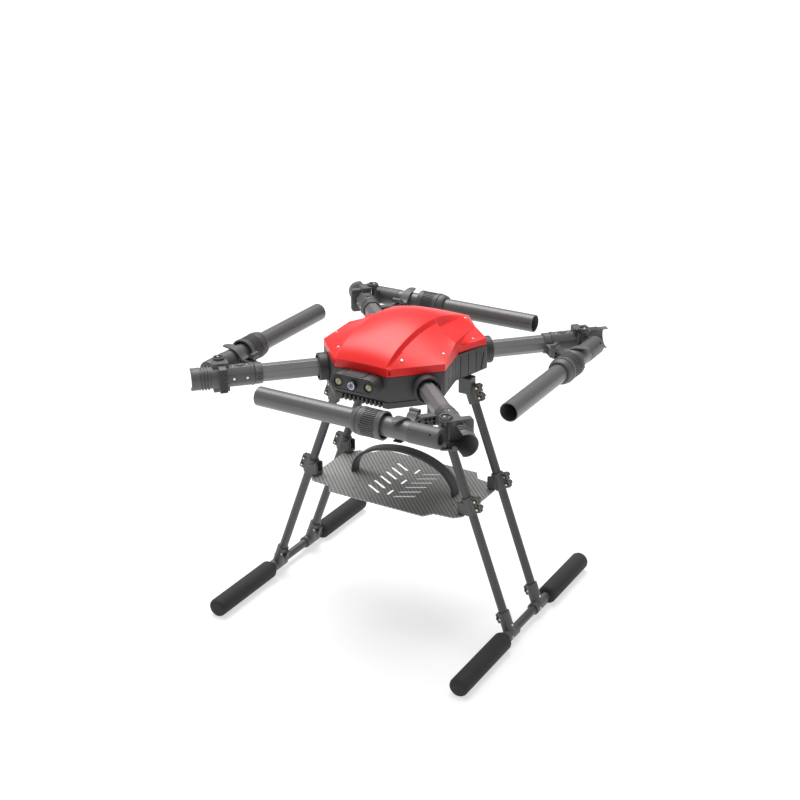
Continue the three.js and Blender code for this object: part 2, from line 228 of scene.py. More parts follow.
def twill(name, pitch, dark, light, gloss, relief):
    """Two-over-two carbon twill under a thin resin, on the piece's unrolled coordinates."""
    finish = Finish(name)
    flat = finish.unrolled()
    wobble = finish.noise(finish.scaled(flat, 1.0, 1.0, 0.0), 60.0, 2.0) * 0.12
    across, along, _ = finish.parts(finish.scaled(flat, 1 / pitch, 1 / pitch, 0.0))
    across, along = across + wobble, along + wobble
    weft = ((across.floor() + along.floor()) / 4.0).fract().above(0.49)
    over = (across.fract() - 0.5).size()
    under = (along.fract() - 0.5).size()
    crown = 1.0 - (weft * over + (1.0 - weft) * under) * 1.6
    fibre = finish.noise(finish.scaled(flat, 600.0, 8000.0, 0.0), 1.0, 2.0)
    shade = weft * 0.62 + crown * 0.25 + fibre * 0.13
    color = finish.mix(shade, dark, light)
    return finish.surface(Base_Color=color, Roughness=fibre * 0.12 + gloss, Coat_Weight=0.25,
                          Coat_Roughness=0.2, Normal=finish.bump(crown + fibre * 0.2, relief, 0.6))


def leg_carbon():
    """Wrapped dark grey tube: faint bands of the wrapping tape round it."""
    finish = Finish("leg_carbon")
    place = finish.place()
    _, _, height = finish.parts(place)
    bands = (height * 900.0).sine()
    cloud = finish.noise(place, 25.0, 4.0)
    color = finish.mix(cloud * 0.8 + bands * 0.08, (0.055, 0.055, 0.056), (0.098, 0.098, 0.100))
    return finish.surface(Base_Color=color, Roughness=cloud * 0.15 + 0.36,
                          Normal=finish.bump(bands + cloud, 0.00005, 0.5))


def foam_rubber():
    """Near-black closed-cell foam."""
    finish = Finish("foam_rubber")
    place = finish.place()
    cells = finish.node("ShaderNodeTexVoronoi", {"feature": "F1"}, {"Vector": place, "Scale": 700.0})
    lumps = finish.noise(place, 60.0, 4.0)
    color = finish.mix(lumps * 0.6 + cells * 0.4, (0.014, 0.014, 0.014), (0.034, 0.034, 0.034))
    return finish.surface(Base_Color=color, Roughness=lumps * 0.15 + 0.72,
                          Normal=finish.bump(cells * 0.7 + lumps, 0.0003, 0.5))


def webbing():
    """Dark woven webbing, ribbed both ways."""
    finish = Finish("strap_webbing")
    flat = finish.unrolled()
    across, along, _ = finish.parts(finish.scaled(flat, 1500.0, 1100.0, 0.0))
    ribs = across.sine() * 0.5 + (along * 2.0).sine() * 0.3
    fuzz = finish.noise(finish.place(), 2500.0, 2.0)
    color = finish.mix(ribs * 0.3 + fuzz, (0.045, 0.045, 0.046), (0.105, 0.105, 0.107))
    return finish.surface(Base_Color=color, Roughness=fuzz * 0.1 + 0.75, Sheen_Weight=0.3,
                          Normal=finish.bump(ribs + fuzz * 0.3, 0.0002, 0.6))


def machined(name, low, high, rough):
    """Bright turned metal with fine turning lines."""
    finish = Finish(name)
    place = finish.place()
    lines = finish.noise(finish.scaled(place, 200.0, 200.0, 5000.0), 1.0, 2.0)
    color = finish.mix(lines, low, high)
    return finish.surface(Base_Color=color, Metallic=1.0, Roughness=lines * 0.15 + rough,
                          Normal=finish.bump(lines, 0.00003, 0.4))


def lens_glass():
    """Coated glass with a violet cast."""
    finish = Finish("lens_glass")
    cloud = finish.noise(finish.place(), 90.0, 1.0)
    color = finish.mix(cloud, (0.16, 0.19, 0.42), (0.36, 0.30, 0.46))
    return finish.surface(Base_Color=color, Roughness=cloud * 0.03 + 0.12, Coat_Weight=1.0,
                          Coat_Roughness=0.05)


def lamp_glow():
    """Pale yellow phosphor behind a clear lamp window."""
    finish = Finish("lamp_phosphor")
    dots = finish.node("ShaderNodeTexVoronoi", {"feature": "F1"}, {"Vector": finish.place(), "Scale": 260.0})
    color = finish.mix(dots.ramp(0.2, 0.7), (0.60, 0.56, 0.36), (0.42, 0.38, 0.22))
    return finish.surface(Base_Color=color, Roughness=dots * 0.1 + 0.45, Coat_Weight=0.2, Coat_Roughness=0.3)


FINISH = {
    "canopy_red": canopy_red(),
    "shell_plastic": moulded("shell_plastic", (0.036, 0.036, 0.037), (0.052, 0.052, 0.054), 0.45),
    "casting_plastic": moulded("casting_plastic", (0.078, 0.078, 0.079), (0.118, 0.118, 0.120), 0.4),
    "inner_tube": satin_tube(),
    "carbon_tube": twill("carbon_tube", 0.0014, (0.078, 0.078, 0.077), (0.150, 0.149, 0.146), 0.3, 0.00005),
    "carbon_plate": twill("carbon_plate", 0.0028, (0.13, 0.13, 0.125), (0.43, 0.43, 0.42), 0.42, 0.00008),
    "leg_tube": leg_carbon(),
    "foam_rubber": foam_rubber(),
    "strap_webbing": webbing(),
    "pin_steel": machined("pin_steel", (0.62, 0.62, 0.62), (0.85, 0.85, 0.85), 0.18),
    "screw_steel": machined("screw_steel", (0.70, 0.70, 0.70), (0.92, 0.92, 0.92), 0.25),
    "black_steel": moulded("black_steel", (0.004, 0.004, 0.004), (0.010, 0.010, 0.010), 0.35),
    "brass": machined("brass", (0.62, 0.50, 0.28), (0.82, 0.70, 0.45), 0.25),
    "lamp_window": lamp_glow(),
    "lens_glass": lens_glass(),
    "module_plastic": moulded("module_plastic", (0.012, 0.012, 0.013), (0.02, 0.02, 0.02), 0.45),
    "circuit_board": moulded("circuit_board", (0.01, 0.03, 0.018), (0.02, 0.05, 0.03), 0.4),
}

# The recorded material slot of each imported node, which names the finish that the node is given.
SLOT_OF = {row["node"]: row["material_slot"] for row in frame["record"]["subparts"]}
for name, node in frame["nodes"].items():
    node.data.materials.clear()
    node.data.materials.append(FINISH[SLOT_OF[name]])


# ---- Modelling helpers: shapes are drawn in millimetres ----------------------------------------------
BEVEL = {"affect": "EDGES", "offset_type": "OFFSET", "profile": 0.5, "material": -1, "clamp_overlap": True}
ALONG_X = turn(90, "Y")
ALONG_Y = turn(-90, "X")
SECTION_TO_X = Matrix(((0, 0, 1, 0), (1, 0, 0, 0), (0, 1, 0, 0), (0, 0, 0, 1)))


def moved(shape, place):
    bmesh.ops.transform(shape, matrix=place, verts=shape.verts)
    return shape


def joined(*shapes):
    """Several separate bodies in one shape."""
    whole = bmesh.new()
    for shape in shapes:
        mesh = bpy.data.meshes.new("part")
        shape.to_mesh(mesh)
        shape.free()
        whole.from_mesh(mesh)
        bpy.data.meshes.remove(mesh)
    return whole


def prism(outline, low, high):
    """A closed slab: a flat outline in X and Y raised from low to high."""
    shape = bmesh.new()
    base = shape.faces.new([shape.verts.new((x, y, low)) for x, y in outline])
    raised = bmesh.ops.extrude_face_region(shape, geom=[base])
    top = [item for item in raised["geom"] if isinstance(item, bmesh.types.BMVert)]
    bmesh.ops.translate(shape, vec=(0, 0, high - low), verts=top)
    bmesh.ops.recalc_face_normals(shape, faces=shape.faces)
    return shape


def block(x, y, z):
    """A box from its low and high ends in X, Y and Z."""
    return prism([(x[0], y[0]), (x[1], y[0]), (x[1], y[1]), (x[0], y[1])], z[0], z[1])


def circle(radius, count, start=0.0, sweep=360.0):
    """Points round a full circle, or along an arc with both its ends."""
    steps = count if sweep == 360.0 else count - 1
    angles = [math.radians(start + sweep * i / steps) for i in range(count)]
    return [(radius * math.cos(angle), radius * math.sin(angle)) for angle in angles]


def octagon(across):
    """The points of an octagon, from its width across flats."""
    return circle(across / 2 / math.cos(math.pi / 8), 8, 22.5)


def turned(profile, segments=48):
    """A closed solid turned about Z from its (radius, height) outline."""
    shape = bmesh.new()
    corners = [shape.verts.new((radius, 0, height)) for radius, height in profile]
    pairs = list(zip(corners, corners[1:] + corners[:1]))
    for pair in pairs if profile[0][0] or profile[-1][0] else pairs[:-1]:
        shape.edges.new(pair)
    bmesh.ops.spin(shape, geom=shape.verts[:] + shape.edges[:], axis=(0, 0, 1), cent=(0, 0, 0),
                   angle=2 * math.pi, steps=segments, use_merge=True)
    bmesh.ops.remove_doubles(shape, verts=shape.verts, dist=0.0005)
    bmesh.ops.recalc_face_normals(shape, faces=shape.faces)
    return shape


def rod(radius, low, high, segments=32):
    return turned([(0, low), (radius, low), (radius, high), (0, high)], segments)


def sleeve(radius, bore, low, high, chamfer=0.6, segments=48):
    """A round tube with a small chamfer at both outer ends."""
    return turned([(bore, low), (radius - chamfer, low), (radius, low + chamfer), (radius, high - chamfer),
                   (radius - chamfer, high), (bore, high)], segments)


def temporary(shape):
    """Stands a shape in the scene for as long as a cut or a join needs it."""
    mesh = bpy.data.meshes.new("temporary")
    shape.to_mesh(mesh)
    shape.free()
    obj = bpy.data.objects.new("temporary", mesh)
    bpy.context.scene.collection.objects.link(obj)
    return obj


def combined(operation, base, *tools):
    """base with every tool cut from it, added to it or kept in common with it."""
    body = temporary(base)
    helpers = [temporary(tool) for tool in tools]
    for helper in helpers:
        modifier = body.modifiers.new("combine", "BOOLEAN")
        modifier.operation = operation
        modifier.solver = "MANIFOLD"
        modifier.object = helper
    done = body.evaluated_get(bpy.context.evaluated_depsgraph_get())
    result = bmesh.new()
    result.from_mesh(done.to_mesh())
    done.to_mesh_clear()
    for obj in [body, *helpers]:
        mesh = obj.data
        bpy.data.objects.remove(obj)
        bpy.data.meshes.remove(mesh)
    bmesh.ops.remove_doubles(result, verts=result.verts, dist=0.001)
    return result


def cut(base, *tools):
    return combined("DIFFERENCE", base, *tools)


def fused(base, *tools):
    return combined("UNION", base, *tools)


def rounded(shape, width, segments=1, sharper=35.0):
    """Eases the corners that turn by more than an angle in degrees."""
    limit = math.radians(sharper)
    shared = [edge for edge in shape.edges if len(edge.link_faces) == 2]
    corners = [edge for edge in shared if edge.calc_face_angle(0.0) > limit]
    bmesh.ops.bevel(shape, geom=corners, offset=width, segments=segments, **BEVEL)
    return shape


def unroll_round(shape, radius):
    """Flat coordinates for a weave, in metres: round the Z axis, and along it."""
    layer = shape.loops.layers.uv.new("Unrolled")
    for face in shape.faces:
        middle = face.calc_center_median()
        seam = math.atan2(middle.y, middle.x)
        for loop in face.loops:
            place = loop.vert.co
            angle = math.atan2(place.y, place.x)
            angle += 2 * math.pi * round((seam - angle) / (2 * math.pi))
            loop[layer].uv = (angle * radius * MM, place.z * MM)
    return shape


def unroll_flat(shape):
    """Flat coordinates for a weave, in metres, seen from above."""
    layer = shape.loops.layers.uv.new("Unrolled")
    for face in shape.faces:
        for loop in face.loops:
            loop[layer].uv = (loop.vert.co.x * MM, loop.vert.co.y * MM)
    return shape


def piece(name, shape, finish, body="airframe", place=None, replaces=(), crisp=32.0):
    """Makes the finished piece: in metres, shaded smooth up to its crisp corners, riding on its body."""
    if place is not None:
        moved(shape, place)
    moved(shape, Matrix.Diagonal((MM, MM, MM, 1)))
    for face in shape.faces:
        face.smooth = True
    for edge in shape.edges:
        edge.smooth = edge.calc_face_angle(0.0) < math.radians(crisp)
    mesh = bpy.data.meshes.new(name)
    shape.to_mesh(mesh)
    shape.free()
    mesh.materials.append(FINISH[finish])
    obj = bpy.data.objects.new(name, mesh)
    bpy.context.scene.collection.objects.link(obj)
    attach(obj, body)
    if replaces:
        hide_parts(*replaces)
    return obj


# Small fastenings, drawn along +Z with their seat at the origin.
def button_screw(radius=3.4, height=2.2):
    head = [(0, 0), (radius, 0), (radius, 0.3 * height), (0.72 * radius, 0.85 * height), (0, height)]
    return cut(turned(head, 20), prism(circle(0.42 * radius, 6), 0.45 * height, 2 * height))


def aligned(point, normal):
    """Places a fastening drawn along +Z at a point of a surface."""
    return Matrix.Translation(point) @ Vector(normal).to_track_quat("Z", "X").to_matrix().to_4x4()


# ---- Canopy ----------------------------------------------------------------------------------------
LIP_LOW = 30
CROWN = 9
HALF_LENGTH = 180
# From nose to tail, each with three points: the hump's ridge, the foot of its flank, and the rim.
NOSE_STATIONS = (
    ((58, -176, 48), (62, -175.8, 47.6), (66, -174, 47)),
    ((61, -156, 67), (66, -156, 58), (85, -154.5, 46.8)),
    ((61, -128, 79), (66.5, -128, 68.5), (113, -126, 46.5)),
    ((61, -94, 87), (66.5, -94, 76.5), (147.5, -90, 46)),
    ((61, -55, 94), (66.5, -55, 84), (141.2, -62, 52.5)),
    ((61, -12, 96), (66.5, -12, 86), (135.3, -36, 58.6)),
    ((61, 19, 93.6), (66.5, 19, 84), (130.6, -15, 63.5)),
)
# Behind the waist the panel steps down to a lower wing: two more points, the step's foot and the wing's rim.
WING_STATIONS = (
    ((61, 23.5, 93), (69, 23.5, 74), (129.6, -13, 63), (127.5, -4, 52), (124.5, 10, 43.5), 4.5),
    ((61, 51, 90), (70, 51, 72), (115.5, 50, 56.2), (116.6, 50, 52.4), (137.7, 51, 44.5)),
    ((61, 84, 81), (70, 84, 69.5), (105.5, 92, 51.7), (106.4, 92, 48.8), (150.5, 84, 45)),
    ((61, 115, 71.5), (70, 115, 66), (99.3, 118, 49), (99.8, 118, 47.4), (122.5, 110.5, 45)),
    ((61, 137, 64.5), (69, 137, 61), (95, 135, 47), (95.4, 136, 44.6), (96.2, 136.5, 44.3)),
)
TAIL_STATIONS = (
    ((60, 150, 60), (67, 150, 58.3), (82, 152, 46.6)),
    ((57, 168, 54), (62, 168, 53), (68, 168, 46.2)),
    ((50, 184, 47), (53, 184, 46.6), (55, 184, 46)),
)
HUMP_STEPS = (0.0, 0.28, 0.55, 0.8)


def canopy_row(ridge, foot, rim, step=None, wing=None, lift=0.0):
    """One station's points from the middle line out to the rim, and down the lip."""
    x, y, z = ridge
    crown = CROWN * math.cos(math.pi / 2 * y / (HALF_LENGTH + 6))
    hump = [(x * part, y, z + crown * (1 - part * part)) for part in HUMP_STEPS]
    middle = [(near + far) / 2 for near, far in zip(foot, rim)]
    middle[2] += lift
    step = step or (rim[0], rim[1], rim[2] - 4)
    wing = wing or (rim[0], rim[1], rim[2] - 8)
    return [*hump, ridge, foot, middle, rim, step, wing, (wing[0], wing[1], LIP_LOW)]


RIDGE_COLUMN = len(HUMP_STEPS)
RIM_COLUMN = RIDGE_COLUMN + 3
CORNER_ROWS = (4, 10, 12)
STEP_ROWS = (7, 8)
SOFT_FOLD = 0.6


def fold(start, end, last_row):
    """How sharply the skin folds along the edge between two points given as (row, column)."""
    (row, column), (far_row, far_column) = sorted((start, end))
    if column == far_column:
        if column == RIDGE_COLUMN:
            return SOFT_FOLD
        return float(column > RIDGE_COLUMN and column != RIM_COLUMN - 1)
    if row in (0, 1, last_row - 1, last_row):
        return 1.0
    if row in STEP_ROWS:
        return float(column > RIDGE_COLUMN - 1 and column != RIM_COLUMN - 1)
    return float(row in CORNER_ROWS and column >= RIM_COLUMN)


def canopy():
    """The cover's skin: half of it laid over the stations as one grid, creased, then mirrored."""
    rows = [canopy_row(*station) for station in (*NOSE_STATIONS, *WING_STATIONS, *TAIL_STATIONS)]
    rows = [[(x, y, LIP_LOW) for x, y, _ in rows[0]], *rows, [(x, y, LIP_LOW) for x, y, _ in rows[-1]]]
    last_row, last_column = len(rows) - 1, len(rows[0]) - 1
    shape = bmesh.new()
    bmesh.ops.create_grid(shape, x_segments=last_column, y_segments=last_row, size=0.5)
    creases = shape.edges.layers.float.new("crease_edge")
    station = {}
    for corner in shape.verts:
        station[corner] = round((corner.co.y + 0.5) * last_row), round((corner.co.x + 0.5) * last_column)
    for edge in shape.edges:
        edge[creases] = fold(*[station[corner] for corner in edge.verts], last_row)
    for corner, (row, column) in station.items():
        corner.co = rows[row][column]
    bmesh.ops.mirror(shape, geom=shape.verts[:] + shape.edges[:] + shape.faces[:], axis="X", merge_dist=0.01)
    bmesh.ops.remove_doubles(shape, verts=shape.verts, dist=0.05)
    bmesh.ops.dissolve_degenerate(shape, edges=shape.edges, dist=0.02)
    bmesh.ops.recalc_face_normals(shape, faces=shape.faces)
    if max(shape.faces, key=lambda face: face.calc_center_median().z).normal.z < 0:
        bmesh.ops.reverse_faces(shape, faces=shape.faces)
    return moved(shape, shift(z=ARM_HEIGHT))


def finish_canopy(cover):
    """Rounds the skin between its folds and gives the moulding its wall."""
    curve = cover.modifiers.new("curve", "SUBSURF")
    curve.levels = curve.render_levels = 3
    wall = cover.modifiers.new("wall", "SOLIDIFY")
    wall.thickness = 2.5 * MM
    wall.offset = -1.0


canopy_cover = piece("canopy_cover", canopy(), "canopy_red", replaces=["canopy"], crisp=34.0)
finish_canopy(canopy_cover)
skin = canopy_cover.evaluated_get(bpy.context.evaluated_depsgraph_get())
for number, (x, y) in enumerate(((77, -142), (131, -66), (131, 61), (73, 135))):
    for side_name, sign in (("left", 1), ("right", -1)):
        _, point, normal, _ = skin.ray_cast((sign * x * MM, y * MM, 0.9), (0, 0, -1))
        seat = aligned(point / MM + normal * 0.1, normal)
        piece(f"canopy_screw_{number}_{side_name}", button_screw(), "screw_steel", place=seat)


# ---- Arms: X runs outward along the arm, Y to the far side of its swing, Z up ---------------------------
ARM_ROOM = 36.6
TUBE_RADIUS = 20
TUBE_ROOM = 20.7
PIN_BORE = 4.3


def inner_arm():
    """The eight-sided tube of the arm's fixed half, its long corners eased."""
    tube = cut(prism(octagon(36), 70, 380), prism(octagon(31), 69, 381))
    along = [edge for edge in tube.edges if edge.calc_length() > 300 and edge.calc_face_angle(0.0) > 0.3]
    bmesh.ops.bevel(tube, geom=along, offset=0.6, segments=1, **BEVEL)
    return moved(tube, ALONG_X)


def outer_tube():
    """The round tube of the arm's folding half."""
    tube = unroll_round(sleeve(TUBE_RADIUS, 18, 12.3, 415, 0.5, 64), TUBE_RADIUS)
    return moved(tube, ALONG_X)


LOCK_GROOVES = 40
LONG_GROOVE = (127, 162)
SHORT_GROOVE = (129.5, 159.5)


def lock_collar():
    """The threaded collar: raised lip, grooved grip, round shoulder and tapered nose."""
    body = turned([(25.5, 118), (28.4, 118), (29, 118.8), (29, 124.2), (28.4, 125.2), (28.4, 163.5),
                   (29, 164.2), (29, 169.6), (28.4, 170.2), (27.2, 170.4), (27.2, 172.4), (28.2, 172.6),
                   (27.6, 178), (25.4, 184.6), (24, 186), (20.6, 186), (20.6, 168), (25.5, 168)], 80)
    grooves = []
    for number in range(LOCK_GROOVES):
        span = LONG_GROOVE if number % 10 in (0, 1) else SHORT_GROOVE
        groove = block((26.2, 31), (-1.15, 1.15), span)
        grooves.append(moved(groove, turn(360 / LOCK_GROOVES * number)))
    return moved(cut(body, joined(*grooves)), ALONG_X)


def knuckle():
    """The hinged root of the folding tube: a cap with a wide hole, a ribbed sleeve and the pin's hub."""
    cap = turned([(12.5, -4), (18.6, -4), (20.2, -2.6), (20.8, 0), (20.8, 60), (20.1, 61), (18.2, 61),
                  (18.2, 12), (17.7, 12), (17.7, 58), (12.5, 58)], 64)
    rib_places = [shift(z=24 + 6.5 * i) @ turn(35) for i in range(5)]
    ribs = [moved(block((-2.2, 2.2), (14, 24), (-15, 15)), place) for place in rib_places]
    cap = moved(cut(cap, *ribs), ALONG_X)
    web = rounded(block((-4, 12), (-25, -12.4), (-18, 18)), 2.5, 2)
    hub = moved(rod(6.5, -27.2, 27.2), shift(-ROOT_OFFSET, PIN.y))
    bore = moved(rod(PIN_BORE, -40, 40, 24), shift(-ROOT_OFFSET, PIN.y))
    room = moved(rod(12.5, -5, 59), ALONG_X)
    return cut(fused(cap, cut(web, room), hub), bore)


def diamonds(places, size, start, end):
    """Four-sided pockets through a wall that faces Y, at (x, z) places."""
    return joined(*[moved(prism(circle(size, 4), start, end), shift(x, 0, z) @ ALONG_Y) for x, z in places])


def fold_joint():
    """The hinge casting: sleeve on the arm, square flange, threaded mouth and the pin's lugs."""
    housing = rounded(moved(prism(octagon(43), 325.5, 388), ALONG_X), 1.2, 2)
    collar = rounded(moved(prism(octagon(45), 327, 333), ALONG_X), 0.8)
    barrel = turned([(0, 388), (23.5, 388), (23.5, 405), (23.1, 409), (23.1, 417), (22.6, 417.4),
                     (22.6, 419.6), (25.2, 420), (25.2, 423), (22.6, 423.8), (22.6, 426), (25.2, 426.6),
                     (25.2, 429.4), (22.6, 430.2), (22.6, 432.4), (25.2, 433), (25.2, 435.8),
                     (22.6, 436.6), (22.6, 438.8), (24.4, 439.4), (23.6, 442.5), (23.6, 454),
                     (24.2, 456.5), (23.4, 458), (0, 458)], 72)
    face = [(-16, -24), (-13, -27), (28, -27), (31, -24), (31, 24), (28, 27), (-13, 27), (-16, 24)]
    flange = rounded(moved(prism(face, 385, 401), SECTION_TO_X), 1.0)
    ear = [(378, 6), (378, -12), (PIN.x - 11, PIN.y + 2), (PIN.x - 9, PIN.y - 8), (PIN.x - 4, PIN.y - 11),
           (PIN.x + 4, PIN.y - 11), (PIN.x + 9, PIN.y - 8), (PIN.x + 11, PIN.y + 2), (412, -12), (412, 6)]
    shoulder = [(378, 8), (378, -14), (412, -14), (412, 8)]
    lugs = [rounded(prism(shoulder, 16, 31.5), 1.0), rounded(prism(ear, 27.5, 31.5), 0.8),
            rounded(prism(shoulder, -31.5, -16), 1.0), rounded(prism(ear, -31.5, -27.5), 0.8)]
    button = moved(rod(6.4, 20, 22.9), shift(354))
    casting = fused(housing, collar, moved(barrel, ALONG_X), flange, button, *lugs)
    seats = [moved(rod(4.6, 20.2, 30), shift(x) @ turn(roll, "X"))
             for x, roll in ((340, 0), (369, 0), (342, -90), (370, -90), (342, 180), (370, 180))]
    swing = [
        block((388, 470), (-45, -7), (-21.3, 21.3)),
        block((412.5, 470), (-45, -7), (-45, 45)),
        moved(rod(15, -21.3, 21.3), shift(*PIN)),
    ]
    arm_room = moved(prism(octagon(ARM_ROOM), 320, 380.3), ALONG_X)
    mouth = moved(rod(22, 388, 470, 64), ALONG_X)
    pin_room = moved(rod(PIN_BORE, -45, 45), shift(*PIN))
    button_ring = moved(cut(rod(8.2, 20.9, 30), rod(6.6, 20, 31)), shift(354))
    return cut(casting, arm_room, mouth, pin_room, *swing, *seats, button_ring)


def hex_frame():
    """The raised six-sided pocket round the hinge pin's head."""
    place = shift(PIN.x - 1, PIN.y + 3, 0) @ turn(12)
    frame_shape = cut(prism(circle(13.5, 6), 31.4, 36.2), prism(circle(10.0, 6), 33.0, 40))
    return moved(rounded(frame_shape, 0.6), place)


# The arm rest's strap, along its length: across the tube, height, and half its width.
RIBBON = ((-56, 18.5, 9), (-51, 17.5, 10), (-46, 13, 11), (-41, 8.5, 11), (-35, 6, 11), (-29.5, 8, 11),
          (-24.8, 12.5, 11), (-19.6, 18, 11), (-12, 22.4, 10.5), (-4, 24.8, 10), (4, 25.8, 9.5),
          (12, 26.2, 8.5), (19, 25.6, 6.5), (24, 24.4, 3.5))
RIBBON_MIDDLE = 86


def ribbon():
    """The wavy strap of the arm rest: it dips between the arm and the tube, then laps over the tube."""
    shape = bmesh.new()
    last = len(RIBBON) - 1
    bmesh.ops.create_grid(shape, x_segments=last, y_segments=2, size=0.5)
    for corner in shape.verts:
        across, height, half_width = RIBBON[round((corner.co.x + 0.5) * last)]
        corner.co = (RIBBON_MIDDLE + 2 * corner.co.y * half_width, across, height)
    bmesh.ops.recalc_face_normals(shape, faces=shape.faces)
    if max(shape.faces, key=lambda face: abs(face.normal.z)).normal.z < 0:
        bmesh.ops.reverse_faces(shape, faces=shape.faces)
    bmesh.ops.solidify(shape, geom=shape.faces[:], thickness=4.0)
    return rounded(shape, 0.6, 1, 50.0)


def ribbon_knob():
    """The round end of the strap, over the arm."""
    knob = rod(5.6, RIBBON_MIDDLE - 11, RIBBON_MIDDLE + 11, 24)
    return rounded(moved(knob, shift(0, -57, 16.5) @ ALONG_X), 0.8)


def joint_lattice():
    """The dark pierced plate on the joint's outer face."""
    holes = [(x, z) for x in (389, 397) for z in range(-18, 19, 9)]
    holes += [(393, z) for z in (-13.5, -4.5, 4.5, 13.5)]
    plate = rounded(block((385.4, 400.6), (30.4, 31.5), (-23.8, 23.8)), 0.3)
    return cut(plate, diamonds(holes, 1.9, 28, 40))


def arm_rest():
    """The clip that carries the folded tube: a band on the arm, a latticed bracket and a lower jaw."""
    band = rounded(moved(prism(octagon(42.5), 309, 325.2), ALONG_X), 1.0)
    marks = [(x, z) for x in (313.5, 320.5) for z in (-12, -4, 4, 12)] + [(317, z) for z in (-8, 0, 8)]
    bracket = prism([(309, -15), (309, -50), (331.5, -92), (346, -78), (325.2, -46), (325.2, -15)], -14, 6)
    tube_room = moved(rod(TUBE_ROOM, 50, 120, 64), TUBE_AXES @ ALONG_X)
    jaw_outline = [*circle(23.7, 16, 165, 105), (13, -22.0), (13, -20.9), *circle(TUBE_ROOM, 16, 270, -105)]
    jaw = moved(prism(jaw_outline, 77, 95), TUBE_AXES @ SECTION_TO_X)
    straight_run = [(0, y, z) for y in (-26, -34, -42) for z in (-8, 0)]
    pockets = joined(*[moved(prism(circle(4.2, 4), 300, 335), Matrix.Translation(at) @ ALONG_X)
                       for at in straight_run])
    sloped_run = [(323.5 + 8.4 * i * 0.63, -62 - 8.4 * i, z) for i in range(3) for z in (-8, 0)]
    sloped = joined(*[moved(prism(circle(4.4, 4), -30, 30), Matrix.Translation(at) @ turn(28) @ ALONG_X)
                      for at in sloped_run])
    body = fused(band, cut(bracket, tube_room), jaw)
    return cut(body, moved(prism(octagon(ARM_ROOM), 300, 330), ALONG_X), pockets, sloped,
               diamonds(marks, 2.6, 19.4, 30))


def pin():
    """The hinge pin, headed at both ends."""
    return turned([(0, -34), (5.9, -34), (6.5, -33.4), (6.5, -31.8), (4, -31.8), (4, 31.8), (6.5, 31.8),
                   (6.5, 33.4), (5.9, 34), (0, 34)], 32)


# For each arm node: its shape, finish, body and place, and the turn in degrees that stays a crisp edge.
ARM_PARTS = {
    "inner_arm": (inner_arm(), "inner_tube", "airframe", Matrix(), 15.0),
    "fold_joint": (fold_joint(), "casting_plastic", "airframe", Matrix(), 32.0),
    "hinge_pin": (pin(), "pin_steel", "airframe", shift(*PIN), 32.0),
    "arm_rest": (arm_rest(), "casting_plastic", "airframe", Matrix(), 32.0),
    "fold_knuckle": (knuckle(), "casting_plastic", "swing_arm_{}", TUBE_AXES, 32.0),
    "outer_arm": (outer_tube(), "carbon_tube", "swing_arm_{}", TUBE_AXES, 32.0),
    "lock_collar": (lock_collar(), "casting_plastic", "collar_{}", TUBE_AXES, 32.0),
}
ARM_SCREWS = [(x, 0, 20.6, 0) for x in (340, 369)] + [(x, 20.6, 0, -90) for x in (342, 370)]
hex_shape = hex_frame()
ribbon_shape = ribbon()
knob_shape = ribbon_knob()
lattice_shape = joint_lattice()
screw_shape = button_screw(3.6, 2.0)
pin_cap_shape = turned([(0, 0), (6.3, 0), (6.3, 0.6), (5.6, 1.4), (3.4, 1.5), (0, 1.5)], 32)
for side, place in ARM_PLACE.items():
    for name, (shape, finish, body, local, crisp) in ARM_PARTS.items():
        piece(f"{name}_{side}_moulded", shape.copy(), finish, body.format(side), place @ local,
              [f"{name}_{side}"], crisp)
    piece(f"hinge_pocket_{side}", hex_shape.copy(), "casting_plastic", place=place)
    piece(f"arm_rest_strap_{side}", ribbon_shape.copy(), "casting_plastic", place=place @ TUBE_AXES)
    piece(f"arm_rest_knob_{side}", knob_shape.copy(), "casting_plastic", place=place @ TUBE_AXES)
    piece(f"joint_lattice_{side}", lattice_shape.copy(), "black_steel", place=place)
    piece(f"pin_cap_{side}", pin_cap_shape.copy(), "black_steel", place=place @ shift(PIN.x, PIN.y, 33.6))
    piece(f"pin_end_{side}", button_screw(3.2, 1.6), "screw_steel", place=place @ shift(PIN.x, PIN.y, 35.0))
    for number, (x, y, z, roll) in enumerate(ARM_SCREWS):
        seat = place @ Matrix.Translation((x, y, z)) @ turn(roll, "X")
        piece(f"joint_screw_{side}_{number}", screw_shape.copy(), "pin_steel", place=seat)
spare = [hex_shape, ribbon_shape, knob_shape, lattice_shape, screw_shape, pin_cap_shape]
for shape in [*[entry[0] for entry in ARM_PARTS.values()], *spare]:
    shape.free()


# ---- Body shell ------------------------------------------------------------------------------------
BODY_PLACE = shift(z=ARM_HEIGHT)
PLAN_HALF = ((64, -176), (147.5, -91), (126.5, 2), (152, 87), (55, 184))


def body_plan(inset=0.0):
    """The shell's outline from above, drawn in by an inset."""
    left = [(x * (1 - inset / 140), y * (1 - inset / 176)) for x, y in PLAN_HALF]
    return [*left, *[(-x, y) for x, y in reversed(left)]]


def tub(inset, top):
    """The shell's mass: upright walls down to the flare, then a floor drawn inwards."""
    shape = prism(body_plan(inset), -24, top)
    floor = [face for face in shape.faces if face.normal.z < -0.9]
    lowered = bmesh.ops.extrude_face_region(shape, geom=floor)
    bmesh.ops.delete(shape, geom=[face for face in floor if face.is_valid], context="FACES_ONLY")
    for corner in [item for item in lowered["geom"] if isinstance(item, bmesh.types.BMVert)]:
        x, y, _ = corner.co
        corner.co = (x * (0.84 if abs(x) > 100 else 1), y - (12 if y > 100 else 0), -39 + inset)
    return shape


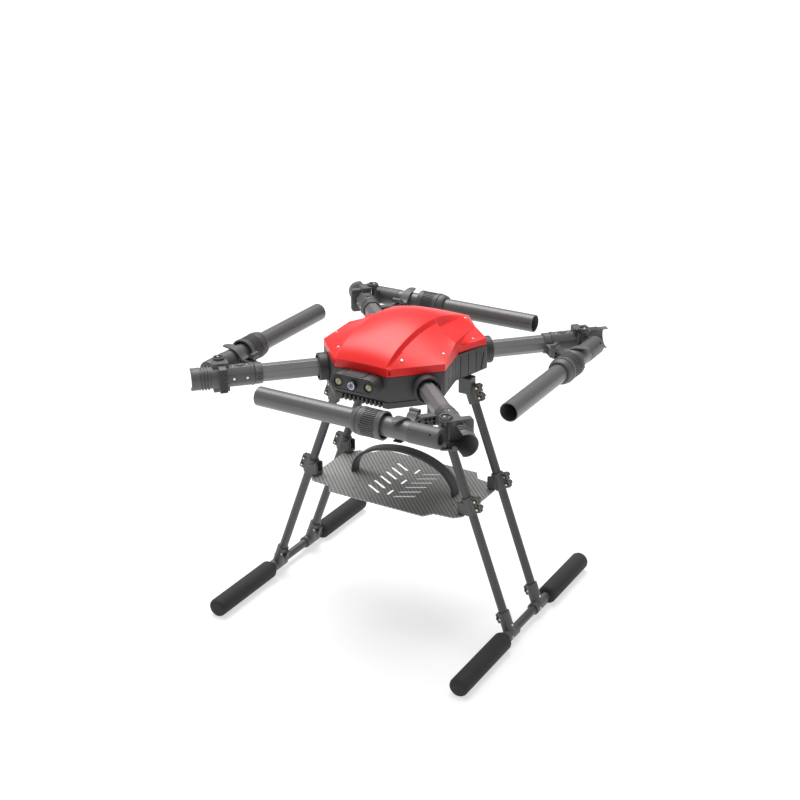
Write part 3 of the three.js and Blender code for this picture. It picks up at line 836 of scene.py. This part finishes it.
def wall_grooves():
    """Upright grooves in both side panels, and a wider slanted one beside the tail."""
    grooves = []
    for sign in (1, -1):
        for first, second, shares in ((1, 2, (0.3, 0.62, 0.84)), (2, 3, (0.1, 0.36, 0.62, 0.84))):
            (x, y), (far_x, far_y) = PLAN_HALF[first], PLAN_HALF[second]
            for share in shares:
                slanted = share == 0.84 and first == 2
                width, low, high, lean = (1.6, -22, 16, 12) if slanted else (0.9, -40, 24, 0)
                place = shift(sign * (x + (far_x - x) * share), y + (far_y - y) * share)
                heading = math.degrees(math.atan2(far_y - y, sign * (far_x - x)))
                grooves.append(moved(block((-width, width), (-1.6, 1.6), (low, high)),
                                     place @ turn(heading) @ turn(lean, "Y")))
    return joined(*grooves)


VENTS = 10
VENT_PITCH = 10.2


def lower_shell():
    """The tub under the canopy: arm rims, front vents, grooved walls and a sunken tail panel."""
    outer = rounded(tub(0, 29.6), 1.0)
    apron = [(-64, -178.5), (64, -178.5), (128, -113), (118, -104), (58, -164), (-58, -164), (-118, -104),
             (-128, -113)]
    lip = rounded(prism(apron, -39, -25), 1.2)
    rim = turned([(0, 150), (27.5, 150), (27.5, 170), (29.5, 171.5), (29.5, 188.4), (28.3, 190), (25.4, 190),
                  (25.4, 181), (0, 181)], 64)
    rims = [moved(rim.copy(), turn(angle) @ ALONG_X) for angle in ARMS.values()]
    rim.free()
    holes = [moved(rod(22, 100, 200, 48), turn(angle) @ ALONG_X) for angle in ARMS.values()]
    vents = joined(*[block((-45.8 + VENT_PITCH * i, -40.2 + VENT_PITCH * i), (-190, -168), (-45, -25.5))
                     for i in range(VENTS)])
    tail_panel = block((-38, 38), (182.6, 190), (-12, 18))
    shape = cut(fused(outer, lip, *rims), tub(3, 40), *holes, vents, wall_grooves(), tail_panel)
    return moved(shape, BODY_PLACE)


def stadium(half_width, half_height, count=16):
    """The points of a slot with half-round ends."""
    side = half_width - half_height
    right = [(x + side, y) for x, y in circle(half_height, count, -90, 180)]
    return [*right, *[(-x, -y) for x, y in right]]


POD_PLACE = shift(0, 0, 12.5)
LAMP_X = 36


def camera_pod():
    """The rounded pod on the nose, with sockets for two lamps and the camera."""
    body = rounded(prism(stadium(54, 18.2), -208, -176.6), 1.4, 2)
    crest = rounded(block((-25, 21), (-19.2, -10), (-205.5, -178)), 0.8)
    recess = prism(stadium(50.5, 14.7), -212, -207)
    sockets = [moved(rod(10, -213, -196, 48), shift(x)) for x in (-LAMP_X, 0, LAMP_X)]
    bezels = [moved(sleeve(12.2, 9.5, -208, -206, 0.4), shift(x)) for x in (-LAMP_X, LAMP_X)]
    seams = [block((x - 0.5, x + 0.5), (-22, -12), (-209, -170)) for x in (-40, -25.8, 21.8, 40)]
    shape = cut(fused(cut(body, recess), crest, *bezels), *sockets, *seams)
    return moved(shape, BODY_PLACE @ POD_PLACE @ ALONG_Y)


def forward(x, y):
    """Places a part drawn along +Z at the pod's face, looking ahead."""
    return BODY_PLACE @ POD_PLACE @ shift(x, y) @ turn(90, "X")


piece("shell_moulding", lower_shell(), "shell_plastic", replaces=["lower_shell"])
piece("pod_moulding", camera_pod(), "shell_plastic", replaces=["camera_pod"])
barrel_outline = [(7.6, 0), (9.5, 0), (9.5, 17), (8.9, 18.4), (8.4, 18.4), (8.4, 16), (7.6, 16)]
piece("camera_barrel", turned(barrel_outline), "module_plastic", place=forward(0, -197))
piece("camera_ring", sleeve(8.3, 6.6, 0, 1.8, 0.4), "screw_steel", place=forward(0, -213))
dome = [(0, 0), (6.6, 0), (6.6, 1.0), (5.6, 2.1), (3.6, 3.0), (0, 3.4)]
piece("camera_glass", turned(dome), "lens_glass", place=forward(0, -212.2), replaces=["camera_lens"],
      crisp=50.0)
iris = [(0, 0), (2.3, 0), (2.1, 0.4), (0, 0.5)]
piece("camera_iris", turned(iris, 24), "module_plastic", place=forward(0, -215.3))
for side_name, x in (("left", LAMP_X), ("right", -LAMP_X)):
    lamp = [(0, 0), (9.3, 0), (9.3, 5.5), (8.2, 6.3), (7.6, 6.3), (7.2, 4.6), (0, 4.6)]
    piece(f"lamp_cup_{side_name}", turned(lamp), "module_plastic", place=forward(x, -200.5))
    window = [(0, 0), (7.1, 0), (7.0, 0.5), (5.2, 0.9), (2.8, 1.1), (0, 1.2)]
    piece(f"lamp_window_{side_name}", turned(window), "lamp_window", place=forward(x, -205.1), crisp=50.0)
    emitter = rounded(block((-5.6, 5.6), (-0.4, 0.4), (0, 0.6)), 0.2)
    piece(f"lamp_emitter_{side_name}", emitter, "module_plastic", place=forward(x, -206.0) @ turn(60))


# ---- Landing gear: each leg has its own axes, X outward, Z up the leg ----------------------------------
SKID_X = 304
SKID_HEIGHT = 21
LEG_TOP_X = 116
LEG_TOP_HEIGHT = 528
LEG_RADIUS = 9.5
LEG_BORE = 8
LEG_ROOM = 9.8
TRAY_TOP = 279.5
BRACKET_FACE = (492, 528.7)
BOLT_X = 19


def leg_axes(sign, foot_y):
    """Axes at a leg's foot with Z up the leg, and the leg's length."""
    foot = Vector((sign * SKID_X, foot_y, SKID_HEIGHT))
    up = Vector((sign * LEG_TOP_X, foot_y + 10, LEG_TOP_HEIGHT)) - foot
    length = up.length
    up.normalize()
    back = up.cross(Vector((sign, 0, 0))).normalized()
    axes = Matrix((back.cross(up), back, up)).transposed().to_4x4()
    axes.translation = foot
    return axes, length


def clamp(low, high, bore_end, carried):
    """A split sleeve with two bolted ears, joined to the block that it carries."""
    barrel = [(0, low), (12.7, low), (13.5, low + 0.8), (13.5, high - 0.8), (12.7, high), (0, high)]
    ears = rounded(block((5, 25), (-6.5, 6.5), (low + 2, high - 2)), 1.0)
    rib = rounded(block((5, 15.5), (-9.5, 9.5), (low + 4, high - 4)), 1.5)
    body = fused(turned(barrel, 48), ears, rib, carried)
    slit = block((0, 27), (-1.0, 1.0), (low - 1, high + 1))
    diamond = moved(prism(circle(3.0, 4), -20, 20), shift(22.5, 0, (low + high) / 2) @ ALONG_Y)
    return cut(body, rod(LEG_ROOM, low - 1, bore_end, 48), slit, diamond)


def bolt():
    """A clamp's bolt, lying across its ears."""
    return turned([(0, -8), (4.4, -8), (4.8, -7.4), (4.8, -6.5), (3.4, -6.4), (3.4, 6.4), (5.1, 6.6),
                   (5.1, 12.4), (4.2, 13.6), (0, 13.6)], 24)


def skid_clamp(axes, foot_y):
    """The fitting at a leg's foot: a ring round the skid and a split post round the leg."""
    along_skid = Matrix.Translation(axes.translation) @ ALONG_Y
    ring = [(0, -24), (12.7, -24), (13.5, -23.2), (13.5, 23.2), (12.7, 24), (0, 24)]
    post = moved(turned([(0, 0), (13.2, 0), (13.2, 51), (12.4, 52), (0, 52)]), axes)
    ear = moved(rounded(block((-19, -5), (-5, 5), (26, 48)), 1.2), axes)
    body = fused(moved(turned(ring), along_skid), post, ear)
    slit = moved(block((-21, 0), (-0.9, 0.9), (18, 60)), axes)
    return cut(body, moved(rod(LEG_ROOM, -30, 30), along_skid), moved(rod(LEG_ROOM, 11.5, 60), axes), slit)


def foam(start, end):
    """A foam sleeve with soft ends, before its bore is cut."""
    outline = [(0, start), (14, start), (17.5, start + 1.2), (19.8, start + 3.2), (21, start + 6.5),
               (21, end - 6.5), (19.8, end - 3.2), (17.5, end - 1.2), (14, end), (0, end)]
    return turned(outline, 48)


# Each foam sleeve's ends along the skid, then its bore's.
FOAM = {"front": ((-318, -113), (-306.3, -100)), "rear": ((95, 281), (80, 270.3))}
for side_name, sign in (("left", 1), ("right", -1)):
    skid = shift(sign * SKID_X, 0, SKID_HEIGHT) @ ALONG_Y
    tube = unroll_round(sleeve(LEG_RADIUS, LEG_BORE, -306, 270, 0.4), LEG_RADIUS)
    piece(f"skid_{side_name}_drawn", tube, "leg_tube", place=skid, replaces=[f"skid_tube_{side_name}"])
    for end_name, (ends, bore) in FOAM.items():
        padding = cut(foam(*ends), rod(LEG_ROOM, *bore))
        piece(f"foam_{end_name}_{side_name}_cut", padding, "foam_rubber", place=skid,
              replaces=[f"foam_{end_name}_{side_name}"])
    for end_name, foot_y in (("front", -83), ("rear", 52)):
        leg = f"{end_name}_{side_name}"
        axes, length = leg_axes(sign, foot_y)
        flat = axes.inverted()
        middle = foot_y + 5
        width = (middle - 13, middle + 13)
        hanger = rounded(block(sorted((sign * 105, sign * 134)), width, BRACKET_FACE), 1.5)
        bracket = clamp(length - 62, length - 20, length - 7.7, moved(hanger, flat))
        tray_along = length * (TRAY_TOP - SKID_HEIGHT) / (LEG_TOP_HEIGHT - SKID_HEIGHT)
        shelf = block(sorted((sign * 177, sign * 200)), width, (TRAY_TOP + 0.3, TRAY_TOP + 30))
        notch = block(sorted((sign * 170, sign * 189)), (middle - 8, middle + 8), (TRAY_TOP + 9, 330))
        shelf = cut(rounded(shelf, 2.5), notch)
        tray_clamp = clamp(tray_along + 2, tray_along + 40, length, moved(shelf, flat))
        tube = unroll_round(sleeve(LEG_RADIUS, LEG_BORE, 12, length - 8, 0.3), LEG_RADIUS)
        piece(f"leg_{leg}_tube", tube, "leg_tube", place=axes, replaces=[f"leg_{leg}"])
        piece(f"leg_bracket_{leg}_moulded", bracket, "casting_plastic", place=axes,
              replaces=[f"leg_bracket_{leg}"])
        piece(f"tray_clamp_{leg}_moulded", tray_clamp, "casting_plastic", place=axes,
              replaces=[f"tray_clamp_{leg}"])
        piece(f"skid_clamp_{leg}_moulded", skid_clamp(axes, foot_y), "casting_plastic",
              replaces=[f"skid_clamp_{leg}"])
        for number, height in enumerate((length - 52, length - 30, tray_along + 12, tray_along + 30)):
            seat = axes @ shift(BOLT_X, 0, height) @ turn(-90 * sign, "X")
            piece(f"clamp_bolt_{leg}_{number}", bolt(), "black_steel", place=seat)
            nut = turned([(0, -9.2), (2.2, -9.2), (2.7, -8.8), (2.7, -8), (0, -8)], 20)
            piece(f"clamp_nut_{leg}_{number}", nut, "brass", place=seat)
        knob = turned([(0, -9), (3.6, -9), (4.6, -8), (4.6, -5), (0, -5)], 24)
        knob_seat = axes @ shift(-13.5, 0, 38) @ turn(-90 * sign, "X")
        piece(f"skid_knob_{leg}", knob, "black_steel", place=knob_seat)
        for number, seat in enumerate((
            axes @ shift(-7, -sign * 11.2, 38) @ turn(90 * sign, "X"),
            axes @ shift(12.9, -sign * 2, 20) @ turn(90, "Y"),
            Matrix.Translation(axes.translation) @ shift(sign * 13.2, -12, 1) @ turn(90 * sign, "Y"),
        )):
            piece(f"skid_screw_{leg}_{number}", button_screw(2.6, 1.8), "screw_steel", place=seat)
        tray_screw = Matrix.Translation((sign * 182, middle - 10.4, TRAY_TOP + 30))
        piece(f"tray_screw_{leg}", button_screw(2.2, 1.4), "brass", place=tray_screw)


# ---- Payload tray and its strap ------------------------------------------------------------------------
TRAY_HALF = ((118, -133), (132, -112), (178, -108), (193, -92), (195, 48), (170, 74), (137, 79), (121, 105))
SLANTED_ROWS = (49, 24, 0, -25, -50, -75)
SLOT_HALF_WIDTH = 3.5
THROUGH_TRAY = (270, 290)
TIE_HOLES = ((75, 66), (90, 40), (96, 8), (92, -30), (86, -64), (76, -96), (52, -112), (20, -118), (24, 86),
             (52, 78), (150, -60), (152, 12), (160, -90))


def payload_tray():
    """The thin plate, with slots down its middle and short slits for ties."""
    outline = [*TRAY_HALF, *[(-x, y) for x, y in reversed(TRAY_HALF)]]
    plate = rounded(prism(outline, TRAY_TOP - 3, TRAY_TOP), 0.4)
    slots = []
    for y in SLANTED_ROWS:
        for sign in (1, -1):
            slot = prism(stadium(25, SLOT_HALF_WIDTH, 8), *THROUGH_TRAY)
            slots.append(moved(slot, shift(39 * sign, y) @ turn(30 * sign)))
    for y in (45, -13.5, -72):
        slot = prism(stadium(14, SLOT_HALF_WIDTH, 8), *THROUGH_TRAY)
        slots.append(moved(slot, shift(2, y) @ turn(90)))
    holes = [moved(prism(stadium(5.5, 0.8, 6), *THROUGH_TRAY), shift(sign * x, y) @ turn(90))
             for x, y in TIE_HOLES for sign in (1, -1)]
    return unroll_flat(cut(plate, joined(*slots, *holes)))


STRAP_X = 4
STRAP_Y = -16
STRAP_STEPS = 49
STRAP_HALF_SPAN = 131
STRAP_HALF_WIDTH = 13
STRAP_RISE = 81.4
STRAP_FULLNESS = 0.92


def payload_strap():
    """A stiff webbing arch over the load, its flat coordinates following the webbing."""
    shape = bmesh.new()
    bmesh.ops.create_grid(shape, x_segments=STRAP_STEPS - 1, y_segments=4, size=0.5)
    layer = shape.loops.layers.uv.new("Unrolled")
    for face in shape.faces:
        for loop in face.loops:
            loop[layer].uv = (loop.vert.co.x * 0.36, loop.vert.co.y * 0.024)
    for corner in shape.verts:
        angle = math.pi * (0.5 - corner.co.x)
        edge = 2 * corner.co.y
        height = STRAP_RISE * math.sin(angle) ** STRAP_FULLNESS
        x = STRAP_X + STRAP_HALF_SPAN * math.cos(angle)
        corner.co = (x, STRAP_Y + STRAP_HALF_WIDTH * edge, TRAY_TOP + 0.4 + height)
    bmesh.ops.recalc_face_normals(shape, faces=shape.faces)
    bmesh.ops.solidify(shape, geom=shape.faces[:], thickness=6.0)
    return rounded(shape, 0.5, 1, 50.0)


piece("tray_plate", payload_tray(), "carbon_plate", replaces=["payload_tray"])
piece("strap_arch", payload_strap(), "strap_webbing", replaces=["payload_strap"], crisp=50.0)


# ---- Studio ----------------------------------------------------------------------------------------
def studio():
    """A pale floor, an even sky and one soft light overhead."""
    mesh = bpy.data.meshes.new("floor")
    shape = bmesh.new()
    bmesh.ops.create_grid(shape, x_segments=1, y_segments=1, size=60.0)
    shape.to_mesh(mesh)
    shape.free()
    floor = bpy.data.objects.new("floor", mesh)
    bpy.context.scene.collection.objects.link(floor)
    paper = Finish("floor_paper")
    grain = paper.noise(paper.place(), 4.0, 2.0)
    color = paper.mix(grain, (0.44, 0.44, 0.44), (0.46, 0.46, 0.46))
    mesh.materials.append(paper.surface(Base_Color=color, Roughness=0.9, Emission_Color=(1.0, 1.0, 1.0, 1.0),
                                        Emission_Strength=0.62))

    world = bpy.data.worlds.new("studio")
    bpy.context.scene.world = world
    world.use_nodes = True
    world.node_tree.nodes["Background"].inputs["Color"].default_value = (1.0, 1.0, 1.0, 1.0)
    world.node_tree.nodes["Background"].inputs["Strength"].default_value = 0.34
    sun = bpy.data.lights.new("overhead_light", "SUN")
    sun.energy = 3.7
    sun.angle = math.radians(50)
    high = bpy.data.objects.new("overhead_light", sun)
    high.matrix_world = Vector((-0.3, 0.3, 1.0)).to_track_quat("Z", "Y").to_matrix().to_4x4()
    bpy.context.scene.collection.objects.link(high)


bpy.context.scene.view_settings.view_transform = "Standard"
studio()
